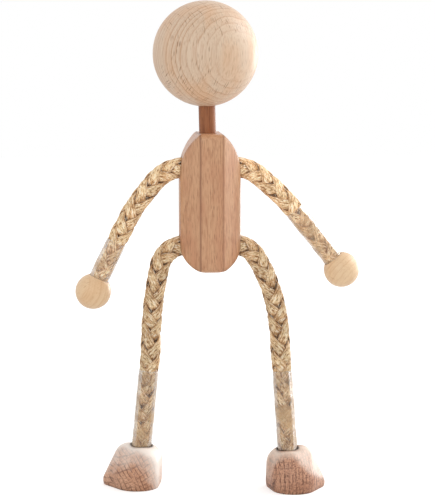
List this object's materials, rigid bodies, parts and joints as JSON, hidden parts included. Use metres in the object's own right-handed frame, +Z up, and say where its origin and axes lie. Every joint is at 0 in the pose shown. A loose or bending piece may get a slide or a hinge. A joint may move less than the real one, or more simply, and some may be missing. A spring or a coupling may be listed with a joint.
{
  "type": "poseable wooden doll",
  "caption": "Standing wooden doll with a ball head on a dowel, a faceted bar torso and wire-cored rope arms and legs that bend, ending in ball hands and flat-soled wooden feet.",
  "frame": {"origin": "on the floor under the middle of the doll's bounding box, which its hands and head set", "axes": "+Z up along the torso, -Y the way the doll faces, +X to the doll's own left"},
  "size_m": [0.1364, 0.05, 0.2335],
  "materials": {
    "torso": "bare sanded beech, pinkish",
    "head": "bare sanded beech, pale",
    "dowel": "bare hardwood, darker",
    "hands": "bare sanded birch",
    "feet": "bare sanded beech with end grain in front",
    "rope": "round braided natural cotton",
    "wire": "soft galvanised wire",
    "film": "clear shrink film"
  },
  "bodies": {
    "torso": {"torso": "torso", "arm_rope": "rope", "arm_wire": "wire", "leg_rope": "rope", "leg_wire": "wire"},
    "head": {"neck_dowel": "dowel", "head_ball": "head"},
    "right_shoulder": {"right_shoulder_rope": "rope", "right_shoulder_wire": "wire"},
    "right_upper_arm": {"right_upper_arm_rope": "rope", "right_upper_arm_wire": "wire", "right_elbow_rope": "rope", "right_elbow_wire": "wire"},
    "right_forearm": {"right_forearm_rope": "rope", "right_forearm_wire": "wire", "right_wrist_film": "film", "right_hand": "hands"},
    "left_shoulder": {"left_shoulder_rope": "rope", "left_shoulder_wire": "wire"},
    "left_upper_arm": {"left_upper_arm_rope": "rope", "left_upper_arm_wire": "wire", "left_elbow_rope": "rope", "left_elbow_wire": "wire"},
    "left_forearm": {"left_forearm_rope": "rope", "left_forearm_wire": "wire", "left_wrist_film": "film", "left_hand": "hands"},
    "right_hip": {"right_hip_rope": "rope", "right_hip_wire": "wire"},
    "right_thigh": {"right_thigh_rope": "rope", "right_thigh_wire": "wire", "right_knee_rope": "rope", "right_knee_wire": "wire"},
    "right_shin": {"right_shin_rope": "rope", "right_shin_wire": "wire", "right_ankle_film": "film", "right_foot": "feet"},
    "left_hip": {"left_hip_rope": "rope", "left_hip_wire": "wire"},
    "left_thigh": {"left_thigh_rope": "rope", "left_thigh_wire": "wire", "left_knee_rope": "rope", "left_knee_wire": "wire"},
    "left_shin": {"left_shin_rope": "rope", "left_shin_wire": "wire", "left_ankle_film": "film", "left_foot": "feet"}
  },
  "joints": [
    {"name": "head_turn", "type": "hinge", "parent": "torso", "child": "head", "pos_m": [-0.00493, 0, 0.1709], "axis": [-0.0262, 0, 0.9997], "continuous": true},
    {"name": "right_arm_swing", "type": "hinge", "parent": "torso", "child": "right_shoulder", "pos_m": [-0.01603, 0, 0.1545], "axis": [-1, 0, 0], "range_deg": [-60, 150]},
    {"name": "right_arm_raise", "type": "hinge", "parent": "right_shoulder", "child": "right_upper_arm", "pos_m": [-0.0248, 0, 0.1545], "axis": [0, 1, 0], "range_deg": [-12, 120], "deforming": ["right_shoulder_rope", "right_shoulder_wire"]},
    {"name": "right_elbow_bend", "type": "hinge", "parent": "right_upper_arm", "child": "right_forearm", "pos_m": [-0.03978, 0, 0.13601], "axis": [-0.8339, 0, 0.5519], "range_deg": [-90, 90], "deforming": ["right_elbow_rope", "right_elbow_wire"]},
    {"name": "left_arm_swing", "type": "hinge", "parent": "torso", "child": "left_shoulder", "pos_m": [0.00797, 0, 0.1545], "axis": [-1, 0, 0], "range_deg": [-60, 150]},
    {"name": "left_arm_raise", "type": "hinge", "parent": "left_shoulder", "child": "left_upper_arm", "pos_m": [0.01504, 0, 0.1545], "axis": [0, -1, 0], "range_deg": [-18, 110], "deforming": ["left_shoulder_rope", "left_shoulder_wire"]},
    {"name": "left_elbow_bend", "type": "hinge", "parent": "left_upper_arm", "child": "left_forearm", "pos_m": [0.03144, 0, 0.13973], "axis": [-0.7193, 0, -0.6947], "range_deg": [-90, 90], "deforming": ["left_elbow_rope", "left_elbow_wire"]},
    {"name": "right_leg_swing", "type": "hinge", "parent": "torso", "child": "right_hip", "pos_m": [-0.01603, 0, 0.1172], "axis": [-1, 0, 0], "range_deg": [-45, 100]},
    {"name": "right_leg_spread", "type": "hinge", "parent": "right_hip", "child": "right_thigh", "pos_m": [-0.02566, 0, 0.1172], "axis": [0, 0.9992, 0.0401], "range_deg": [-8, 25], "deforming": ["right_hip_rope", "right_hip_wire"]},
    {"name": "right_knee_bend", "type": "hinge", "parent": "right_thigh", "child": "right_shin", "pos_m": [-0.03228, 0.00205, 0.06616], "axis": [0.9981, 0.0024, -0.061], "range_deg": [-90, 90], "deforming": ["right_knee_rope", "right_knee_wire"]},
    {"name": "left_leg_swing", "type": "hinge", "parent": "torso", "child": "left_hip", "pos_m": [0.00797, 0, 0.1172], "axis": [-1, 0, 0], "range_deg": [-45, 95]},
    {"name": "left_leg_spread", "type": "hinge", "parent": "left_hip", "child": "left_thigh", "pos_m": [0.01483, 0, 0.1172], "axis": [0, -0.9954, 0.0958], "range_deg": [-10, 32], "deforming": ["left_hip_rope", "left_hip_wire"]},
    {"name": "left_knee_bend", "type": "hinge", "parent": "left_thigh", "child": "left_shin", "pos_m": [0.02952, -0.0044, 0.07148], "axis": [0.9976, 0.0067, 0.0694], "range_deg": [-90, 90], "deforming": ["left_knee_rope", "left_knee_wire"]}
  ]
}
